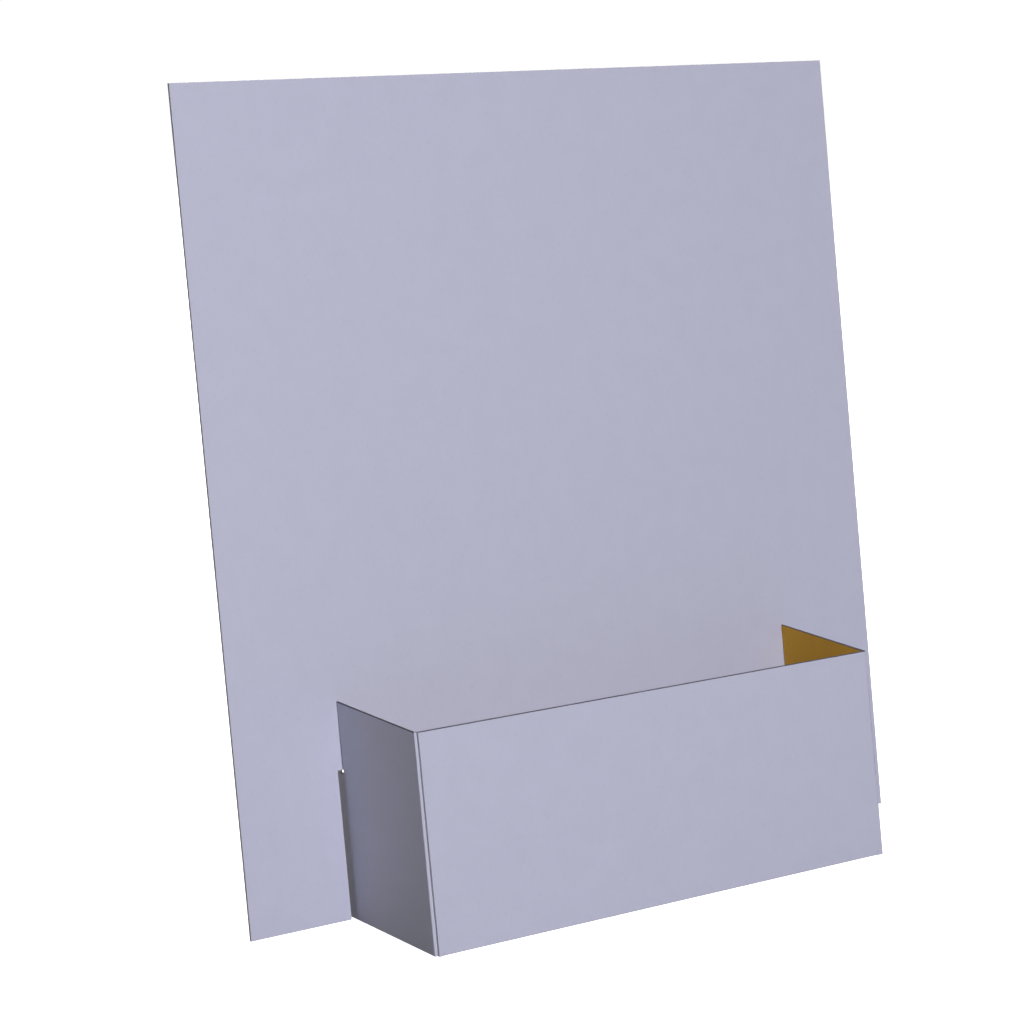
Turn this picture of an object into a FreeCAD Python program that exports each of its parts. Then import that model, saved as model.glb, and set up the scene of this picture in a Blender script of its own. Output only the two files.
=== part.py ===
import FreeCAD, Part
import math
import os

# A counter display stand of solid board, in two pieces.
# The header card is one flat square-cut sheet with two slots open at its bottom edge.
# The base is one folded sheet glued into a closed loop: front panel, right wall, rear
# wall, left wall and a glue lap behind the front panel, with a floor panel folded in
# from the foot of the front panel. Its side walls have slots open at the top, and the
# two sheets cross there like the dividers of an egg crate.
# Millimetres and degrees. X runs along the front, Y to the rear, Z up.

# The board
BOARD = 0.9
FOLD_INNER_RADIUS = 0.1

# The header card
HEADER_WIDTH = 305.0
HEADER_HEIGHT = 295.0
HEADER_LEAN = 12.2

# The base, measured on its outside, with depths counted from the header's foot
BASE_WIDTH = 215.0
POCKET_DEPTH = 46.4
FRONT_HEIGHT = 78.0
FRONT_LEAN = 12.6
REAR_DEPTH = 56.0
REAR_HEIGHT = 24.0
WALL_SHOULDER = 9.0

# The glued corner at the front left
SEAM_INSET = 1.25
LAP_WIDTH = 15.0
LAP_END_GAP = 1.5
LAP_TAPER = 15.0

# The floor panel
FLOOR_SIDE_GAP = 2.0
FLOOR_REAR_GAP = 1.5
FLOOR_RELIEF = 0.1

# The slots, where the two sheets cross. A side wall's slot leaves a gap before and
# behind the header, wider at its floor than at its mouth, which holds the header.
SLOT_FLOOR_HEIGHT = 52.0
SLOT_FLOOR_GAP = 0.6
SLOT_MOUTH_GAP = 0.08
GAP_ABOVE_WALL = 1.0
GAP_BESIDE_WALL = 2.1

lean = math.radians(HEADER_LEAN)
front_lean = math.radians(FRONT_LEAN)
half_width = BASE_WIDTH / 2
half_floor = half_width - BOARD - FLOOR_SIDE_GAP
fold_radius = BOARD + FOLD_INNER_RADIUS

# The length that the floor's bend takes of the front panel, and of the floor
floor_bend_run = fold_radius * (1 + math.sin(front_lean)) / math.cos(front_lean)

# The origin is under the middle of the whole stand.
header_reach = HEADER_HEIGHT * math.sin(lean) + BOARD * math.cos(lean)
middle_depth = (max(REAR_DEPTH, header_reach) - POCKET_DEPTH) / 2


def on_front(across, up):
    """The side view point at a distance into the front panel's board and up its slope."""
    depth = across * math.cos(front_lean) + up * math.sin(front_lean) - POCKET_DEPTH
    return (depth, up * math.cos(front_lean) - across * math.sin(front_lean))


def on_header(across, up):
    """The side view point at a distance into the header's board and up its slope."""
    depth = across * math.cos(lean) + up * math.sin(lean)
    return (depth, up * math.cos(lean) + (BOARD - across) * math.sin(lean))


def place(x, side_point):
    """A point in space from its x and its side view point."""
    depth, height = side_point
    return FreeCAD.Vector(x, depth - middle_depth, height)


def side_slab(x_from, x_to, outline):
    """A straight-sided outline of the side view, given its thickness along x."""
    points = [place(x_from, side_point) for side_point in outline]
    face = Part.Face(Part.makePolygon(points + points[:1]))
    return face.extrude(FreeCAD.Vector(x_to - x_from, 0, 0))


def bent_section(section, angles, tails):
    """The section of a bend of one board thickness, with a straight tail past its last angle."""
    outer = [section(fold_radius, angle, 0) for angle in angles]
    inner = [section(FOLD_INNER_RADIUS, angle, 0) for angle in reversed(angles)]
    outer_tail = section(fold_radius, angles[-1], tails)
    inner_tail = section(FOLD_INNER_RADIUS, angles[-1], tails)
    edges = [Part.Arc(*outer).toShape(), Part.Arc(*inner).toShape(), Part.makeLine(inner[2], outer[0])]
    if tails:
        edges.append(Part.makeLine(outer[2], outer_tail))
        edges.append(Part.makeLine(inner_tail, inner[0]))
    edges.append(Part.makeLine(outer_tail, inner_tail))
    return Part.Face(Part.Wire(Part.__sortEdges__(edges)))


def front_fold(turn, across):
    """The fold from the front panel or its lap round to a side wall, along the panel's slope."""
    centre_x = turn * (half_width - fold_radius)
    low = -fold_radius

    def section(radius, angle, tail):
        centre = across + fold_radius
        side_point = on_front(centre - radius * math.cos(angle), low)
        return place(centre_x + turn * radius * math.sin(angle), side_point)

    face = bent_section(section, (0, math.pi / 4, math.pi / 2), 0)
    return face.extrude(place(0, on_front(0, FRONT_HEIGHT)) - place(0, on_front(0, low)))


def rear_fold(turn):
    """The upright fold between a side wall and the rear wall."""
    def section(radius, angle, tail):
        depth = REAR_DEPTH - fold_radius + radius * math.cos(angle)
        return place(turn * (half_width - fold_radius + radius * math.sin(angle)), (depth, 0))

    face = bent_section(section, (0, math.pi / 4, math.pi / 2), 0)
    return face.extrude(FreeCAD.Vector(0, 0, REAR_HEIGHT))


def side_wall(turn, across):
    """A side wall from its front fold to its rear fold, with its slot open at the top."""
    fold_end = across + fold_radius
    top = on_front(fold_end, FRONT_HEIGHT)[1]
    shoulder = on_header(BOARD, top / math.cos(lean))[0] + WALL_SHOULDER
    rear = REAR_DEPTH - fold_radius
    wall = side_slab(turn * half_width, turn * (half_width - BOARD), [
        on_front(fold_end, fold_end * math.tan(front_lean)),
        on_front(fold_end, FRONT_HEIGHT),
        (shoulder, top),
        (rear, REAR_HEIGHT),
        (rear, 0),
    ])
    slot = side_slab(turn * (half_width + BOARD), turn * (half_width - 2 * BOARD), [
        on_header(-SLOT_FLOOR_GAP, SLOT_FLOOR_HEIGHT),
        on_header(-SLOT_MOUTH_GAP, FRONT_HEIGHT),
        on_header(-SLOT_MOUTH_GAP, FRONT_HEIGHT + WALL_SHOULDER),
        on_header(BOARD + SLOT_MOUTH_GAP, FRONT_HEIGHT + WALL_SHOULDER),
        on_header(BOARD + SLOT_MOUTH_GAP, FRONT_HEIGHT),
        on_header(BOARD + SLOT_FLOOR_GAP, SLOT_FLOOR_HEIGHT),
    ])
    return wall.cut(slot)


def rear_wall():
    """The low rear wall between its two folds."""
    width = 2 * (half_width - fold_radius)
    corner = place(-width / 2, (REAR_DEPTH - BOARD, 0))
    return Part.makeBox(width, BOARD, REAR_HEIGHT, corner)


def front_panel():
    """The front panel from its cut edge at the seam to its right fold, relieved for the floor."""
    panel = side_slab(SEAM_INSET - half_width, half_width - fold_radius, [
        on_front(0, -fold_radius),
        on_front(0, FRONT_HEIGHT),
        on_front(BOARD, FRONT_HEIGHT),
        on_front(BOARD, -fold_radius),
    ])
    relief = side_slab(-half_floor - FLOOR_RELIEF, half_floor + FLOOR_RELIEF, [
        on_front(-BOARD, -2 * fold_radius),
        on_front(-BOARD, floor_bend_run),
        on_front(2 * BOARD, floor_bend_run),
        on_front(2 * BOARD, -2 * fold_radius),
    ])
    return panel.cut(relief)


def floor_panel():
    """The floor and the bend that joins it to the front panel's foot."""
    centre_depth = floor_bend_run - POCKET_DEPTH

    def section(radius, angle, tail):
        depth = centre_depth + radius * math.cos(angle) + tail
        return place(-half_floor, (depth, fold_radius + radius * math.sin(angle)))

    panel_side = math.pi - front_lean
    under_side = 1.5 * math.pi
    angles = (panel_side, (panel_side + under_side) / 2, under_side)
    face = bent_section(section, angles, -FLOOR_REAR_GAP - centre_depth)
    return face.extrude(FreeCAD.Vector(2 * half_floor, 0, 0))


def glue_lap():
    """The left wall's lap, glued to the back of the front panel, with tapered ends."""
    fold_x = fold_radius - half_width
    end_x = LAP_WIDTH - half_width
    taper = (end_x - fold_x) * math.tan(math.radians(LAP_TAPER))
    corners = [
        (fold_x, LAP_END_GAP),
        (fold_x, FRONT_HEIGHT - LAP_END_GAP),
        (end_x, FRONT_HEIGHT - LAP_END_GAP - taper),
        (end_x, LAP_END_GAP + taper),
    ]
    points = [place(x, on_front(BOARD, up)) for x, up in corners]
    face = Part.Face(Part.makePolygon(points + points[:1]))
    return face.extrude(place(0, on_front(BOARD, 0)) - place(0, on_front(0, 0)))


def above_the_table(shape):
    """The shape with what reaches below the table cut off, as the sheet's edges stand on it."""
    reach = 2 * (HEADER_WIDTH + HEADER_HEIGHT)
    below = Part.makeBox(reach, reach, reach, FreeCAD.Vector(-reach / 2, -reach / 2, -reach))
    return shape.cut(below)


def folded_base():
    """The base: one sheet, folded round and glued at the front left."""
    panels = [
        front_fold(1, 0),
        side_wall(1, 0),
        rear_fold(1),
        rear_wall(),
        rear_fold(-1),
        side_wall(-1, BOARD),
        front_fold(-1, BOARD),
        glue_lap(),
        floor_panel(),
    ]
    return above_the_table(front_panel().fuse(panels)).removeSplitter()


def header_card():
    """The header: one flat sheet with a slot up from its bottom edge over each side wall."""
    card = side_slab(-HEADER_WIDTH / 2, HEADER_WIDTH / 2, [
        on_header(0, 0),
        on_header(0, HEADER_HEIGHT),
        on_header(BOARD, HEADER_HEIGHT),
        on_header(BOARD, 0),
    ])
    top = SLOT_FLOOR_HEIGHT + GAP_ABOVE_WALL
    for turn in (-1, 1):
        outer_x = turn * (half_width + GAP_BESIDE_WALL)
        inner_x = turn * (half_width - BOARD - GAP_BESIDE_WALL)
        slot = side_slab(outer_x, inner_x, [
            on_header(-BOARD, -BOARD),
            on_header(-BOARD, top),
            on_header(2 * BOARD, top),
            on_header(2 * BOARD, -BOARD),
        ])
        card = card.cut(slot)
    return card


def only_solid(shape):
    """The one solid that a sheet is, out of the shape that its operations return."""
    assert len(shape.Solids) == 1
    return shape.Solids[0]


os.makedirs("parts", exist_ok=True)
only_solid(header_card()).exportStep("parts/header_card.step")
only_solid(folded_base()).exportStep("parts/folded_base.step")
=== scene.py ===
import math

import bmesh
import bpy
from mathutils import Matrix, Vector


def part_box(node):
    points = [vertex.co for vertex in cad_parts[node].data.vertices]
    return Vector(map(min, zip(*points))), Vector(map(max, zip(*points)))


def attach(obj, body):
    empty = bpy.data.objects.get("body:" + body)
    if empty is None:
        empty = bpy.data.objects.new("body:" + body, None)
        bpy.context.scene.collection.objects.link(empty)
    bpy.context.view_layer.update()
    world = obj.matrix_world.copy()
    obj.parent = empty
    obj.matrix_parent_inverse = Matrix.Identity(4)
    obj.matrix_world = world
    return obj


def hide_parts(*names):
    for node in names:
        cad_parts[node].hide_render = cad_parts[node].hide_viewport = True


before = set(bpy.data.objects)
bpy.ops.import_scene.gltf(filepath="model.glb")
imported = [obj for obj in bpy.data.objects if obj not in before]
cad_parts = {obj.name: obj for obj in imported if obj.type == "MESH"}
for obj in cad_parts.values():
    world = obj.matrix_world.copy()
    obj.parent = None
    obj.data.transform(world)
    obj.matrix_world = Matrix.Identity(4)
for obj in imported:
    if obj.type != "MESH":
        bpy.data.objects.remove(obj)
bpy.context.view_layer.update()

# A counter display stand of solid board, in two sheets. A flat header card stands in the
# slots of a folded base, which has a leaflet pocket in front. Each sheet starts as a skin,
# which is cut and folded, then thickened to board and given its creased and cut edges.
# Sizes are in millimetres and degrees, as the sheets are cut and folded.
MM = 0.001
BOARD = 0.9

# The header card
HEADER_WIDTH = 305.0
HEADER_HEIGHT = 295.0
HEADER_LEAN = 12.2

# The base, measured on its outside, with depths counted from the header's foot
BASE_WIDTH = 215.0
POCKET_DEPTH = 46.4
FRONT_HEIGHT = 78.0
FRONT_LEAN = 12.6
REAR_DEPTH = 56.0
REAR_HEIGHT = 24.0
WALL_SHOULDER = 9.0

# The glued corner at the front left
SEAM_INSET = 1.25
LAP_WIDTH = 15.0
LAP_END_GAP = 1.5
LAP_END_START = 1.6
LAP_TAPER = 15.0
GLUE_FILM = 0.02

# The floor panel, and the relief cuts beside its fold
FLOOR_SIDE_GAP = 2.0
FLOOR_REAR_GAP = 1.5
FLOOR_RELIEF = 0.1
RELIEF_HEIGHT = 1.8

# The slots, where the two sheets cross. A side wall's slot leaves a gap before and behind
# the header, wider at its floor than at its mouth, which holds the header.
SLOT_FLOOR_HEIGHT = 52.0
SLOT_FLOOR_GAP = 0.6
SLOT_MOUTH_GAP = 0.08
GAP_ABOVE_WALL = 1.0
GAP_BESIDE_WALL = 2.1

# The edges: the outside of a creased fold is sharper than the board is thick, and the base's
# upper cut edges are pressed round, where leaflets slide in. On the base the upward cut faces
# and all softened edges are painted darker: painted shade, for the little light that reaches
# them from above. Cut edges near the table stay sharp, so that the stand stands flat.
FOLD_ROUNDING = 0.4
FOLD_SEGMENTS = 4
TOP_EDGE_ROUNDING = 0.33
CUT_EDGE_SOFTENING = 0.06
EDGE_SEGMENTS = 3
SHARP_FOOT_HEIGHT = 2 * RELIEF_HEIGHT

# A fold turns by at least this many radians, and a top edge's normal rises by this share.
LEAST_FOLD = 1.0
LEAST_RISE = 0.7
# Strips of a skin are found by their middle, within this many millimetres, and corners
# nearer than this many metres are in one place.
NEAR = 0.5
SAME_PLACE = 1e-7

lean = math.radians(HEADER_LEAN)
front_lean = math.radians(FRONT_LEAN)
half_width = BASE_WIDTH / 2
half_floor = half_width - BOARD - FLOOR_SIDE_GAP
lap_face = BOARD + GLUE_FILM

right = Vector((1, 0, 0))
up_front = Vector((0, math.sin(front_lean), math.cos(front_lean)))
up_header = Vector((0, math.sin(lean), math.cos(lean)))
behind_header = Vector((0, math.cos(lean), -math.sin(lean)))

# The header's foot in the frame's y, a pocket's depth behind the base's foremost edge
header_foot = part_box("folded_base")[0][1] / MM + POCKET_DEPTH


def on_front(across, up):
    """The side view point at a distance into the front panel's board and up its slope."""
    depth = across * math.cos(front_lean) + up * math.sin(front_lean) - POCKET_DEPTH
    return (depth, up * math.cos(front_lean) - across * math.sin(front_lean))


def on_header(across, up):
    """The side view point at a distance into the header's board and up its slope."""
    depth = across * math.cos(lean) + up * math.sin(lean)
    return (depth, up * math.cos(lean) + (BOARD - across) * math.sin(lean))


def place(x, side_point):
    """A point in the frame, in metres, from its x and its side view point."""
    depth, height = side_point
    return Vector((x, depth + header_foot, height)) * MM


# Materials

def linear(hex_colour):
    """The linear colour of an sRGB hex value."""
    channels = [int(hex_colour[i:i + 2], 16) / 255 for i in (1, 3, 5)]
    return [c / 12.92 if c <= 0.04045 else ((c + 0.055) / 1.055) ** 2.4 for c in channels] + [1.0]


def grain(size):
    """The noise scale that gives features of a size in millimetres."""
    return 1 / (size * MM)


def add(owner, kind, settings=None, links=None):
    """One node with its settings and the sockets that feed it."""
    node = owner.node_tree.nodes.new(kind)
    for name, value in (settings or {}).items():
        if isinstance(name, str) and hasattr(node, name):
            setattr(node, name, value)
        else:
            node.inputs[name].default_value = value
    for name, source in (links or {}).items():
        owner.node_tree.links.new(source, node.inputs[name])
    return node


def new_material(name):
    """An empty node material."""
    material = bpy.data.materials.new(name)
    material.use_nodes = True
    material.node_tree.nodes.clear()
    return material


# The sockets of a colour mix, which share their names with those of its other kinds
MIX_AMOUNT, MIX_FIRST, MIX_SECOND = 0, 6, 7
MIX_RESULT = 2


def blend_colours(owner, amount, first, second):
    """The mix of two hex colours, or of a colour socket and a hex colour, by a socket."""
    mix = add(owner, "ShaderNodeMix", {"data_type": "RGBA"}, {MIX_AMOUNT: amount})
    for socket, colour in ((MIX_FIRST, first), (MIX_SECOND, second)):
        if isinstance(colour, str):
            mix.inputs[socket].default_value = linear(colour)
        else:
            owner.node_tree.links.new(colour, mix.inputs[socket])
    return mix.outputs[MIX_RESULT]


# The detail of a noise, from soft clouds to fine grain and ragged cracks
SOFT, FINE, RAGGED = 3.0, 4.0, 6.0

# Clay-coated solid board, printed one flat lilac grey and sealed matt: an even, slightly
# silky skin with faint clouds from the fibres below it, print mottle and a fine tooth.
# Along a fold it has fine cracks, with paler clay in them.
LILAC = ("#AFB0C6", "#B4B5CB")
MOTTLED_LILAC = "#A8A9BF"
CRACKED_CLAY = "#C6C5CF"
CLOUD_SIZE = 9.0
MOTTLE_SIZE = 1.6
CRACK_SIZE = 0.5
# The real tooth is about 0.1 mm. It is drawn coarser, so that it shows.
TOOTH_SIZE = 0.4
TOOTH_DEPTH = 0.02
MOTTLE_RANGE = {"From Min": 0.56, "From Max": 0.74, "To Max": 0.35}
CRACK_RANGE = {"From Min": 0.55, "From Max": 0.68, "To Max": 0.4}
SEALED_MATT = {"To Min": 0.5, "To Max": 0.68}


def coated_face(name, cracked):
    """The printed outside of the board, or the same skin with the fine cracks of a fold."""
    coating = new_material(name)
    where = add(coating, "ShaderNodeTexCoord").outputs["Object"]
    clouds = add(coating, "ShaderNodeTexNoise", {"Scale": grain(CLOUD_SIZE), "Detail": SOFT},
                 {"Vector": where})
    mottle = add(coating, "ShaderNodeTexNoise", {"Scale": grain(MOTTLE_SIZE), "Detail": FINE},
                 {"Vector": where})
    tooth = add(coating, "ShaderNodeTexNoise", {"Scale": grain(TOOTH_SIZE), "Detail": SOFT},
                {"Vector": where})
    tint = blend_colours(coating, clouds.outputs["Fac"], *LILAC)
    speckle = add(coating, "ShaderNodeMapRange", MOTTLE_RANGE, {"Value": mottle.outputs["Fac"]})
    tint = blend_colours(coating, speckle.outputs["Result"], tint, MOTTLED_LILAC)
    if cracked:
        cracks = add(coating, "ShaderNodeTexNoise",
                     {"Scale": grain(CRACK_SIZE), "Detail": RAGGED, "Roughness": 0.7},
                     {"Vector": where})
        gaping = add(coating, "ShaderNodeMapRange", CRACK_RANGE, {"Value": cracks.outputs["Fac"]})
        tint = blend_colours(coating, gaping.outputs["Result"], tint, CRACKED_CLAY)
    gloss = add(coating, "ShaderNodeMapRange", SEALED_MATT, {"Value": tooth.outputs["Fac"]})
    bump = add(coating, "ShaderNodeBump", {"Strength": 0.12, "Distance": TOOTH_DEPTH * MM},
               {"Height": tooth.outputs["Fac"]})
    surface = add(coating, "ShaderNodeBsdfPrincipled", {"IOR": 1.45}, {
        "Base Color": tint,
        "Roughness": gloss.outputs["Result"],
        "Normal": bump.outputs["Normal"],
    })
    add(coating, "ShaderNodeOutputMaterial", None, {"Surface": surface.outputs["BSDF"]})
    return coating


# Unbleached kraft on the back: golden brown and dull, with fibres that run up the sheet,
# a cloudy make and a scatter of darker flecks.
FIBRE_COLOURS = ("#B6892C", "#CC9C39")
CLOUDY_KRAFT = "#B28632"
FLECK_COLOUR = "#805B26"
FIBRE_LENGTH = 5.0
# The real fibres are about 0.04 mm wide. They are drawn coarser, so that they show.
FIBRE_WIDTH = 0.3
FIBRE_DEPTH = 0.05
FLECK_SIZE = 1.4
MAKE_SIZE = 12.0
MAKE_RANGE = {"From Min": 0.4, "From Max": 0.75, "To Max": 0.3}
FLECK_RANGE = {"From Min": 0.68, "From Max": 0.74, "To Max": 0.45}


def kraft_face():
    """The bare kraft inside of the board."""
    kraft = new_material("unbleached_kraft_board")
    where = add(kraft, "ShaderNodeTexCoord").outputs["Object"]
    fibre_scale = (grain(FIBRE_WIDTH), grain(FIBRE_WIDTH), grain(FIBRE_LENGTH))
    along = add(kraft, "ShaderNodeMapping", {"Scale": fibre_scale}, {"Vector": where})
    fibres = add(kraft, "ShaderNodeTexNoise", {"Scale": 1.0, "Detail": FINE, "Roughness": 0.6},
                 {"Vector": along.outputs["Vector"]})
    make = add(kraft, "ShaderNodeTexNoise", {"Scale": grain(MAKE_SIZE), "Detail": SOFT},
               {"Vector": where})
    fleck = add(kraft, "ShaderNodeTexNoise", {"Scale": grain(FLECK_SIZE)}, {"Vector": where})
    tint = blend_colours(kraft, fibres.outputs["Fac"], *FIBRE_COLOURS)
    uneven = add(kraft, "ShaderNodeMapRange", MAKE_RANGE, {"Value": make.outputs["Fac"]})
    tint = blend_colours(kraft, uneven.outputs["Result"], tint, CLOUDY_KRAFT)
    few = add(kraft, "ShaderNodeMapRange", FLECK_RANGE, {"Value": fleck.outputs["Fac"]})
    tint = blend_colours(kraft, few.outputs["Result"], tint, FLECK_COLOUR)
    bump = add(kraft, "ShaderNodeBump", {"Strength": 0.25, "Distance": FIBRE_DEPTH * MM},
               {"Height": fibres.outputs["Fac"]})
    surface = add(kraft, "ShaderNodeBsdfPrincipled", {"IOR": 1.4, "Roughness": 0.85}, {
        "Base Color": tint,
        "Normal": bump.outputs["Normal"],
    })
    add(kraft, "ShaderNodeOutputMaterial", None, {"Surface": surface.outputs["BSDF"]})
    return kraft


# The die-cut edge: grey pressed plies that run with the sheet, rough, with a kraft ply last.
# On the base a darker copy of it is painted shade, on the upward cut faces and softened edges.
LAST_PLY_COLOUR = "#8A6C36"
CRUSH_SIZE = 0.5
CRUSH_DEPTH = 0.04
PLIES = 5
PLY_RANGE = {"From Min": -1.0, "To Max": 0.5}
LAST_PLY_RANGE = {"From Min": 0.86, "From Max": 0.92}


def cut_edge(name, first, second, between):
    """The cut edge of the board. The ply attribute goes from 0 outside to 1 inside."""
    edge = new_material(name)
    where = add(edge, "ShaderNodeTexCoord").outputs["Object"]
    ply = add(edge, "ShaderNodeAttribute", {"attribute_name": "ply"}).outputs["Fac"]
    crush = add(edge, "ShaderNodeTexNoise", {"Scale": grain(CRUSH_SIZE), "Detail": SOFT},
                {"Vector": where})
    turns = add(edge, "ShaderNodeMath", {"operation": "MULTIPLY", 1: PLIES * math.tau}, {0: ply})
    wave = add(edge, "ShaderNodeMath", {"operation": "SINE"}, {0: turns.outputs[0]})
    layers = add(edge, "ShaderNodeMapRange", PLY_RANGE, {"Value": wave.outputs[0]})
    tint = blend_colours(edge, crush.outputs["Fac"], first, second)
    tint = blend_colours(edge, layers.outputs["Result"], tint, between)
    last_ply = add(edge, "ShaderNodeMapRange", LAST_PLY_RANGE, {"Value": ply})
    tint = blend_colours(edge, last_ply.outputs["Result"], tint, LAST_PLY_COLOUR)
    bump = add(edge, "ShaderNodeBump", {"Strength": 0.3, "Distance": CRUSH_DEPTH * MM},
               {"Height": crush.outputs["Fac"]})
    surface = add(edge, "ShaderNodeBsdfPrincipled", {"IOR": 1.4, "Roughness": 0.9}, {
        "Base Color": tint,
        "Normal": bump.outputs["Normal"],
    })
    add(edge, "ShaderNodeOutputMaterial", None, {"Surface": surface.outputs["BSDF"]})
    return edge


OUTSIDE, INSIDE, CUT, CREASED, SHADED_TOP_EDGE = range(5)
finishes = [
    coated_face("coated_lilac_board", False),
    kraft_face(),
    cut_edge("die_cut_board_edge", "#B1B0C1", "#BCBBCB", "#A09FB0"),
    coated_face("creased_lilac_board", True),
    # painted shade: a darker copy of the cut edge, for the base's upward faces and softened edges
    cut_edge("painted_shade_board_edge", "#585763", "#62616D", "#51505B"),
]


# Sheets of board

def slice_at(skin, faces, point, normal):
    """Cuts some faces of a skin along a plane and gives the faces ahead of it and behind it."""
    edges = dict.fromkeys(edge for face in faces for edge in face.edges)
    corners = dict.fromkeys(vert for face in faces for vert in face.verts)
    cut = bmesh.ops.bisect_plane(skin, geom=[*faces, *edges, *corners], plane_co=point,
                                 plane_no=normal)
    made = [item for item in cut["geom"] if isinstance(item, bmesh.types.BMFace)]
    pieces = [face for face in dict.fromkeys([*faces, *made]) if face.is_valid]
    ahead = [face for face in pieces if (face.calc_center_median() - point).dot(normal) > 0]
    behind = [face for face in pieces if face not in ahead]
    return ahead, behind


def strip_at(skin, x):
    """The faces of a skin that have their middle at an x in millimetres."""
    return [face for face in skin.faces if abs(face.calc_center_median().x - x * MM) < NEAR * MM]


def on_wall(face, side):
    """Whether a face of a skin lies in a side wall."""
    wall = side * half_width * MM
    return all(abs(vert.co.x - wall) < SAME_PLACE for vert in face.verts)


def thicken(skin, sheet):
    """The solid board of a skin, whose faces know their side and whose corners their ply."""
    skin_corners = len(skin.verts)
    skin.to_mesh(sheet.data)
    skin.free()
    thickness = sheet.modifiers.new("board", "SOLIDIFY")
    thickness.thickness = BOARD * MM
    thickness.offset = -1.0
    thickness.use_even_offset = True
    thickness.material_offset = INSIDE
    thickness.material_offset_rim = CUT
    seen = sheet.evaluated_get(bpy.context.evaluated_depsgraph_get())
    solid_mesh = bpy.data.meshes.new_from_object(seen)
    sheet.modifiers.clear()
    board = bmesh.new()
    board.from_mesh(solid_mesh)
    bpy.data.meshes.remove(solid_mesh)
    ply = board.verts.layers.float.new("ply")
    for number, vert in enumerate(board.verts):
        vert[ply] = 0.0 if number < skin_corners else 1.0
    return board


def trim_at_table(board):
    """Cuts off what dips below the table and closes the cut."""
    bmesh.ops.bisect_plane(board, geom=board.verts[:] + board.edges[:] + board.faces[:],
                           dist=SAME_PLACE, plane_co=(0, 0, 0), plane_no=(0, 0, 1),
                           clear_inner=True)
    open_edges = [edge for edge in board.edges if len(edge.link_faces) == 1]
    for face in bmesh.ops.holes_fill(board, edges=open_edges, sides=0)["faces"]:
        face.material_index = CUT


def round_folds(board):
    """Rounds the folds, which are where two faces of one side of the board meet."""
    folds = []
    for edge in board.edges:
        sides = {face.material_index for face in edge.link_faces}
        if len(sides) == 1 and CUT not in sides and edge.calc_face_angle(0) > LEAST_FOLD:
            folds.append(edge)
    made = bmesh.ops.bevel(board, geom=folds, offset=FOLD_ROUNDING * MM, segments=FOLD_SEGMENTS,
                           profile=0.5, affect="EDGES", material=-1, clamp_overlap=False)
    for face in made["faces"]:
        if face.material_index == OUTSIDE:
            face.material_index = CREASED


def mark_cut_edges(board, top_edge):
    """Gives the upward cut faces the top edge finish, on the base a painted shade, and all cut
    edges how much they are softened.
    """
    board.normal_update()
    # Upward cut faces take the top edge finish, which on the base is painted shade.
    for face in board.faces:
        if face.material_index == CUT and face.normal.z > LEAST_RISE:
            face.material_index = top_edge
    softening = board.edges.layers.float.new("bevel_weight_edge")
    for edge in board.edges:
        cuts = [face.material_index for face in edge.link_faces
                if face.material_index in (CUT, SHADED_TOP_EDGE)]
        lowest = min(vert.co.z for vert in edge.verts)
        if len(cuts) == 1 and lowest > SHARP_FOOT_HEIGHT * MM:
            edge[softening] = 1.0 if SHADED_TOP_EDGE in cuts else CUT_EDGE_SOFTENING / TOP_EDGE_ROUNDING


def finish_sheet(name, skin, node, top_edge):
    """Gives a flat or folded skin its board thickness, folds, softened edges and finishes."""
    sheet = bpy.data.objects.new(name, bpy.data.meshes.new(name))
    bpy.context.scene.collection.objects.link(sheet)
    for finish in finishes:
        sheet.data.materials.append(finish)
    board = thicken(skin, sheet)
    trim_at_table(board)
    round_folds(board)
    mark_cut_edges(board, top_edge)
    board.to_mesh(sheet.data)
    board.free()
    edges = sheet.modifiers.new("softened cut edges", "BEVEL")
    edges.width = TOP_EDGE_ROUNDING * MM
    edges.segments = EDGE_SEGMENTS
    edges.limit_method = "WEIGHT"
    # The rounded faces take the top edge finish, which on the base is painted shade.
    edges.material = top_edge
    edges.use_clamp_overlap = False
    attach(sheet, "root")
    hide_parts(node)


def header_sheet():
    """The header card: a flat sheet with a slot up from its bottom edge over each side wall."""
    skin = bmesh.new()
    bmesh.ops.create_grid(skin, x_segments=1, y_segments=1, size=0.5)
    bmesh.ops.scale(skin, vec=(HEADER_WIDTH * MM, HEADER_HEIGHT * MM, 1), verts=skin.verts)
    bmesh.ops.translate(skin, vec=(0, HEADER_HEIGHT * MM / 2, 0), verts=skin.verts)
    slot_top = Vector((0, (SLOT_FLOOR_HEIGHT + GAP_ABOVE_WALL) * MM, 0))
    for side in (-1, 1):
        for x in (half_width + GAP_BESIDE_WALL, half_width - BOARD - GAP_BESIDE_WALL):
            slice_at(skin, list(skin.faces), Vector((side * x * MM, 0, 0)), right)
    for side in (-1, 1):
        strip = strip_at(skin, side * (half_width - BOARD / 2))
        slot = slice_at(skin, strip, slot_top, Vector((0, 1, 0)))[1]
        bmesh.ops.delete(skin, geom=slot, context="FACES")
    leaning = Matrix.Rotation(math.pi / 2 - lean, 3, "X")
    bmesh.ops.rotate(skin, cent=(0, 0, 0), matrix=leaning, verts=skin.verts)
    bmesh.ops.translate(skin, vec=place(0, on_header(0, 0)), verts=skin.verts)
    finish_sheet("header_sheet", skin, "header_card", CUT)


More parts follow.
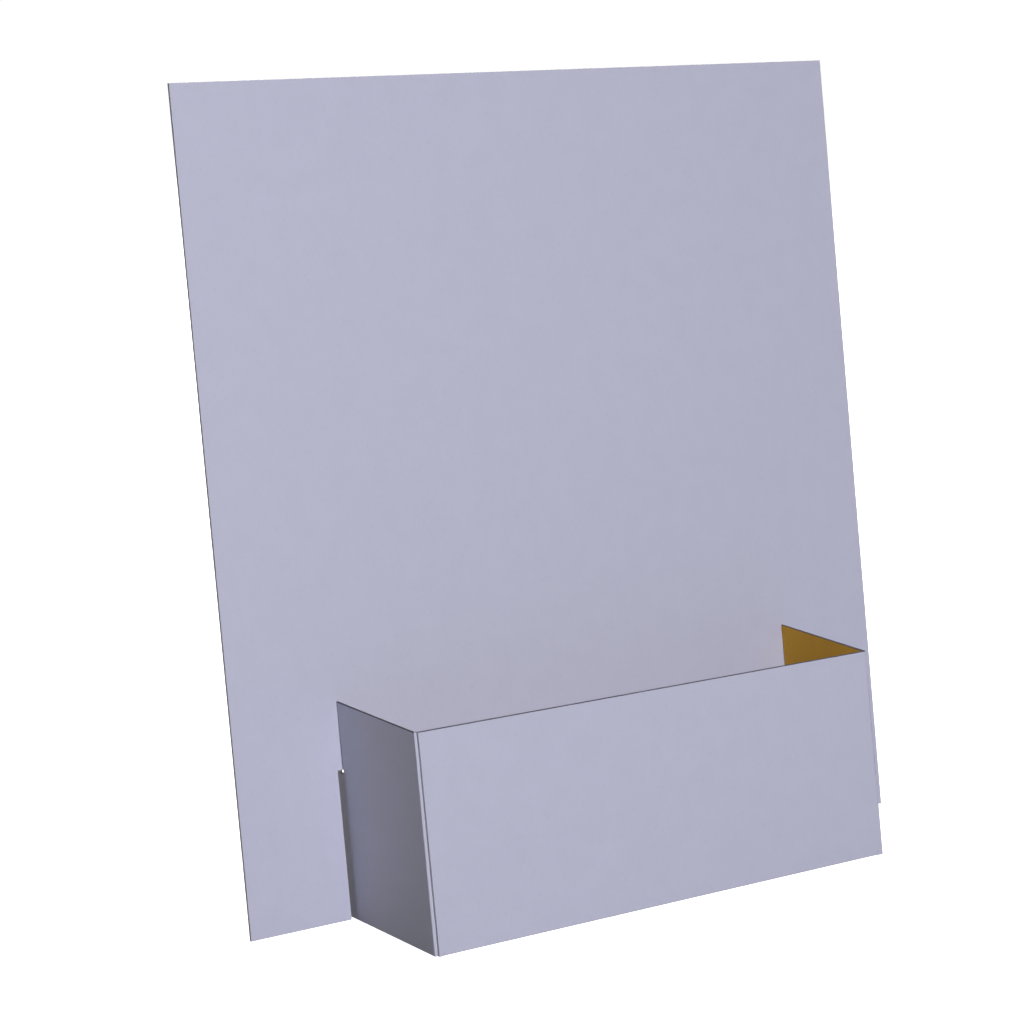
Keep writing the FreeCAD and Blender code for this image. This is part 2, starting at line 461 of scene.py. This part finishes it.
def folded_skin():
    """The base's outer skin, folded round from the glue lap to the seam, without its floor."""
    skin = bmesh.new()
    lap_foot = on_front(lap_face, lap_face * math.tan(front_lean))
    lap_top = on_front(lap_face, FRONT_HEIGHT)
    # Each upright line of the sheet, with its foot and its top: the lap's end, the four
    # corners of the loop, the lines beside the floor's fold, and the seam.
    lines = [
        (LAP_WIDTH - half_width, lap_foot, lap_top),
        (-half_width, lap_foot, lap_top),
        (-half_width, (REAR_DEPTH, 0), (REAR_DEPTH, REAR_HEIGHT)),
        (half_width, (REAR_DEPTH, 0), (REAR_DEPTH, REAR_HEIGHT)),
        (half_width, on_front(0, 0), on_front(0, FRONT_HEIGHT)),
    ]
    for x in (half_floor + FLOOR_RELIEF, half_floor, -half_floor, -half_floor - FLOOR_RELIEF,
              SEAM_INSET - half_width):
        lines.append((x, on_front(0, 0), on_front(0, FRONT_HEIGHT)))
    feet = [skin.verts.new(place(x, foot)) for x, foot, top in lines]
    foot_edges = [skin.edges.new(pair) for pair in zip(feet, feet[1:])]
    bmesh.ops.extrude_edge_only(skin, edges=foot_edges)
    for foot, (x, _, top) in zip(feet, lines):
        upright = next(edge for edge in foot.link_edges if edge.calc_length() < SAME_PLACE)
        upright.other_vert(foot).co = place(x, top)
    return skin


def raise_shoulders(skin):
    """Bends each side wall's top edge at its shoulder, level with the front panel's top."""
    for side in (-1, 1):
        fold_end = BOARD + (lap_face if side < 0 else 0)
        level = on_front(fold_end, FRONT_HEIGHT)[1]
        depth = on_header(BOARD, level / math.cos(lean))[0] + WALL_SHOULDER
        wall = next(face for face in skin.faces if on_wall(face, side))
        edge = max(wall.edges, key=lambda item: sum(vert.co.z for vert in item.verts))
        made = bmesh.ops.subdivide_edges(skin, edges=[edge], cuts=1)["geom_inner"]
        shoulder = next(item for item in made if isinstance(item, bmesh.types.BMVert))
        shoulder.co = place(side * half_width, (depth, level))


def fold_in_floor(skin):
    """Cuts the reliefs beside the floor's fold and folds the floor in from the front's foot."""
    for side in (-1, 1):
        strip = strip_at(skin, side * (half_floor + FLOOR_RELIEF / 2))
        relief = slice_at(skin, strip, place(0, on_front(0, RELIEF_HEIGHT)), up_front)[1]
        bmesh.ops.delete(skin, geom=relief, context="FACES")
    fold = next(edge for edge in skin.edges
                if all(abs(vert.co.z) < SAME_PLACE for vert in edge.verts)
                and abs(edge.calc_length() - 2 * half_floor * MM) < SAME_PLACE)
    for item in bmesh.ops.extrude_edge_only(skin, edges=[fold])["geom"]:
        if isinstance(item, bmesh.types.BMVert):
            item.co.y = place(0, (-FLOOR_REAR_GAP, 0)).y
    bmesh.ops.recalc_face_normals(skin, faces=skin.faces)


def cut_wall_slots(skin):
    """Cuts the slots, open at the side walls' top edges and narrower there."""
    narrowing = math.atan((SLOT_FLOOR_GAP - SLOT_MOUTH_GAP) / (FRONT_HEIGHT - SLOT_FLOOR_HEIGHT))
    across = behind_header * math.cos(narrowing)
    turned = up_header * math.sin(narrowing)
    slot_front = place(0, on_header(-SLOT_FLOOR_GAP, SLOT_FLOOR_HEIGHT))
    slot_back = place(0, on_header(BOARD + SLOT_FLOOR_GAP, SLOT_FLOOR_HEIGHT))
    for side in (-1, 1):
        wall = [face for face in skin.faces if on_wall(face, side)]
        rear_part = slice_at(skin, wall, slot_front, across - turned)[0]
        strip = slice_at(skin, rear_part, slot_back, across + turned)[1]
        slot = slice_at(skin, strip, slot_front, up_header)[0]
        bmesh.ops.delete(skin, geom=slot, context="FACES")


def taper_lap(skin):
    """Tapers the lap's ends, which start behind the front panel, clear of the fold."""
    taper = math.radians(LAP_TAPER)
    lap_start = LAP_END_START - half_width
    lap = strip_at(skin, LAP_WIDTH / 2 - half_width)
    lap = slice_at(skin, lap, place(lap_start, (0, 0)), right)[0]
    for from_end, toward_middle in ((LAP_END_GAP, 1), (FRONT_HEIGHT - LAP_END_GAP, -1)):
        point = place(lap_start, on_front(lap_face, from_end))
        inward = toward_middle * up_front * math.cos(taper) - right * math.sin(taper)
        lap, outside = slice_at(skin, lap, point, inward)
        bmesh.ops.delete(skin, geom=outside, context="FACES")
    bmesh.ops.recalc_face_normals(skin, faces=skin.faces)


def base_sheet():
    """The base: one sheet folded round and glued at the front left, with its floor folded in."""
    skin = folded_skin()
    raise_shoulders(skin)
    fold_in_floor(skin)
    cut_wall_slots(skin)
    taper_lap(skin)
    # The base's top edge finish is painted shade: a darker copy of the cut edge.
    finish_sheet("base_sheet", skin, "folded_base", SHADED_TOP_EDGE)


header_sheet()
base_sheet()


# Floor, background, light and camera

FLOOR_SIZE = 12.0
WHITE = (1, 1, 1, 1)
# The world's even fill is low. To the camera the floor adds what the fill leaves short of
# white, and what it gives back to the object is grey and slightly warm.
AMBIENT = 0.07
FLOOR_ALBEDO = 0.8
FLOOR_BOUNCE = (0.2, 0.19, 0.165, 1.0)
# Each lamp: its power in watts, its colour, and its size and place in metres
LAMPS = {
    "key": (26.9, "#FFFFFF", 0.12, (-0.344, -1.619, 0.71)),
    "left_fill": (1.0, "#FFFBD8", 0.4, (-1.1, 0.12, 0.05)),
    "right_fill": (1.8, "#FFFFFF", 0.4, (1.25, 0.1, 0.14)),
    "top_fill": (3.4, "#FFFFFF", 0.6, (0.0, -0.12, 1.8)),
    "back_fill": (38.0, "#FFFFFF", 1.0, (0.62, 1.30, 1.14)),
}
LAMP_TARGET = (0, 0, 0.14)


def white_floor():
    """A white floor that shows the object's soft contact shadow and nothing of the lamps."""
    grid = bmesh.new()
    bmesh.ops.create_grid(grid, x_segments=1, y_segments=1, size=FLOOR_SIZE / 2)
    mesh = bpy.data.meshes.new("studio_floor")
    grid.to_mesh(mesh)
    grid.free()
    floor = bpy.data.objects.new("studio_floor", mesh)
    bpy.context.scene.collection.objects.link(floor)
    paint = new_material("white_studio_floor")
    camera_ray = add(paint, "ShaderNodeLightPath").outputs["Is Camera Ray"]
    bounce = add(paint, "ShaderNodeBsdfDiffuse", {"Color": FLOOR_BOUNCE})
    shaded = add(paint, "ShaderNodeBsdfDiffuse", {"Color": (FLOOR_ALBEDO,) * 3 + (1,)})
    glow = add(paint, "ShaderNodeEmission", {"Strength": 1.0 - AMBIENT * FLOOR_ALBEDO})
    seen = add(paint, "ShaderNodeAddShader", None,
               {0: shaded.outputs["BSDF"], 1: glow.outputs["Emission"]})
    both = add(paint, "ShaderNodeMixShader", None,
               {0: camera_ray, 1: bounce.outputs["BSDF"], 2: seen.outputs["Shader"]})
    add(paint, "ShaderNodeOutputMaterial", None, {"Surface": both.outputs["Shader"]})
    mesh.materials.append(paint)


def studio_world():
    """White to the camera, an even soft fill for everything else."""
    world = bpy.data.worlds.new("studio")
    bpy.context.scene.world = world
    world.use_nodes = True
    world.node_tree.nodes.clear()
    camera_ray = add(world, "ShaderNodeLightPath").outputs["Is Camera Ray"]
    fill = add(world, "ShaderNodeBackground", {"Color": WHITE, "Strength": AMBIENT})
    white = add(world, "ShaderNodeBackground", {"Color": WHITE, "Strength": 1.0})
    both = add(world, "ShaderNodeMixShader", None,
               {0: camera_ray, 1: fill.outputs[0], 2: white.outputs[0]})
    add(world, "ShaderNodeOutputWorld", None, {"Surface": both.outputs["Shader"]})


def lamp(name, power, colour, size, location):
    """A square soft lamp that points at the object."""
    light = bpy.data.lights.new(name, "AREA")
    light.size = size
    light.energy = power
    light.color = linear(colour)[:3]
    holder = bpy.data.objects.new(name, light)
    bpy.context.scene.collection.objects.link(holder)
    holder.location = location
    aim = Vector(LAMP_TARGET) - Vector(location)
    holder.rotation_euler = aim.to_track_quat("-Z", "Y").to_euler()


# The camera stands in front and to the left, in millimetres and degrees. Its axis meets the
# picture below the middle, in pixels.
CAMERA_PLACE = (-813.6, -941.0, 413.8)
CAMERA_TURN = -39.54
CAMERA_DOWN = 13.66
CAMERA_ROLL = 2.60
FOCAL_PIXELS = 3496.6
IMAGE_PIXELS = 1024
AXIS_BELOW_MIDDLE = 56.3
SENSOR = 36.0


def camera():
    """The photograph's camera."""
    lens = bpy.data.cameras.new("camera")
    lens.sensor_width = SENSOR
    lens.sensor_fit = "HORIZONTAL"
    lens.lens = FOCAL_PIXELS / IMAGE_PIXELS * SENSOR
    lens.shift_y = AXIS_BELOW_MIDDLE / IMAGE_PIXELS
    holder = bpy.data.objects.new("camera", lens)
    bpy.context.scene.collection.objects.link(holder)
    turn = Matrix.Rotation(math.radians(CAMERA_TURN), 4, "Z")
    tilt = Matrix.Rotation(math.radians(90 - CAMERA_DOWN), 4, "X")
    roll = Matrix.Rotation(math.radians(CAMERA_ROLL), 4, "Z")
    holder.matrix_world = Matrix.Translation(Vector(CAMERA_PLACE) * MM) @ turn @ tilt @ roll
    bpy.context.scene.camera = holder


white_floor()
studio_world()
for name, settings in LAMPS.items():
    lamp(name, *settings)
camera()
bpy.context.scene.view_settings.view_transform = "Standard"
